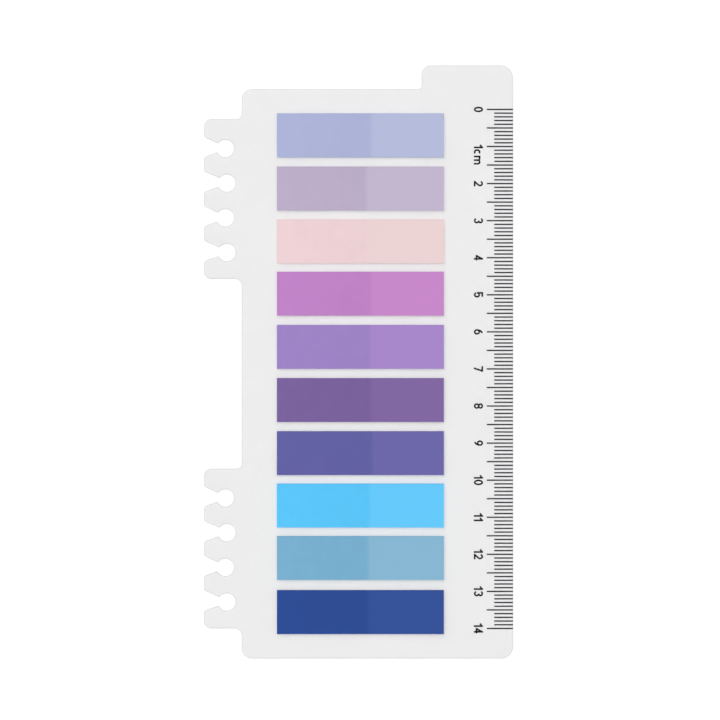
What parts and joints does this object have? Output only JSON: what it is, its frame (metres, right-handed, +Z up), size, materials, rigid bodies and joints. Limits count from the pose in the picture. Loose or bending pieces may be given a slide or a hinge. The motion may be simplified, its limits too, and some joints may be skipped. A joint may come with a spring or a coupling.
{
  "type": "sticky film index flags on a ruler card",
  "caption": "Frosted plastic divider card with an index tab, ring fingers and a centimetre scale, carrying a column of pads of translucent coloured film flags.",
  "frame": {"origin": "middle of the bounding box, on the surface that the card lies on", "axes": "+X to the right across the card, towards its scale; +Y up the card, towards its tab; +Z up, towards the reader"},
  "size_m": [0.0834, 0.16, 0.0015],
  "materials": {
    "card": "satin",
    "ink": "satin",
    "lilac_film": "satin",
    "mauve_film": "satin",
    "blush_film": "satin",
    "orchid_film": "satin",
    "violet_film": "satin",
    "plum_film": "satin",
    "indigo_film": "satin",
    "sky_film": "satin",
    "steel_film": "satin",
    "navy_film": "satin"
  },
  "bodies": {
    "root": {"ruler_card": "card", "flag_pad_lilac": "lilac_film", "flag_pad_mauve": "mauve_film", "flag_pad_blush": "blush_film", "flag_pad_orchid": "orchid_film", "flag_pad_violet": "violet_film", "flag_pad_plum": "plum_film", "flag_pad_indigo": "indigo_film", "flag_pad_sky": "sky_film", "flag_pad_steel": "steel_film", "flag_pad_navy": "navy_film"}
  },
  "joints": []
}
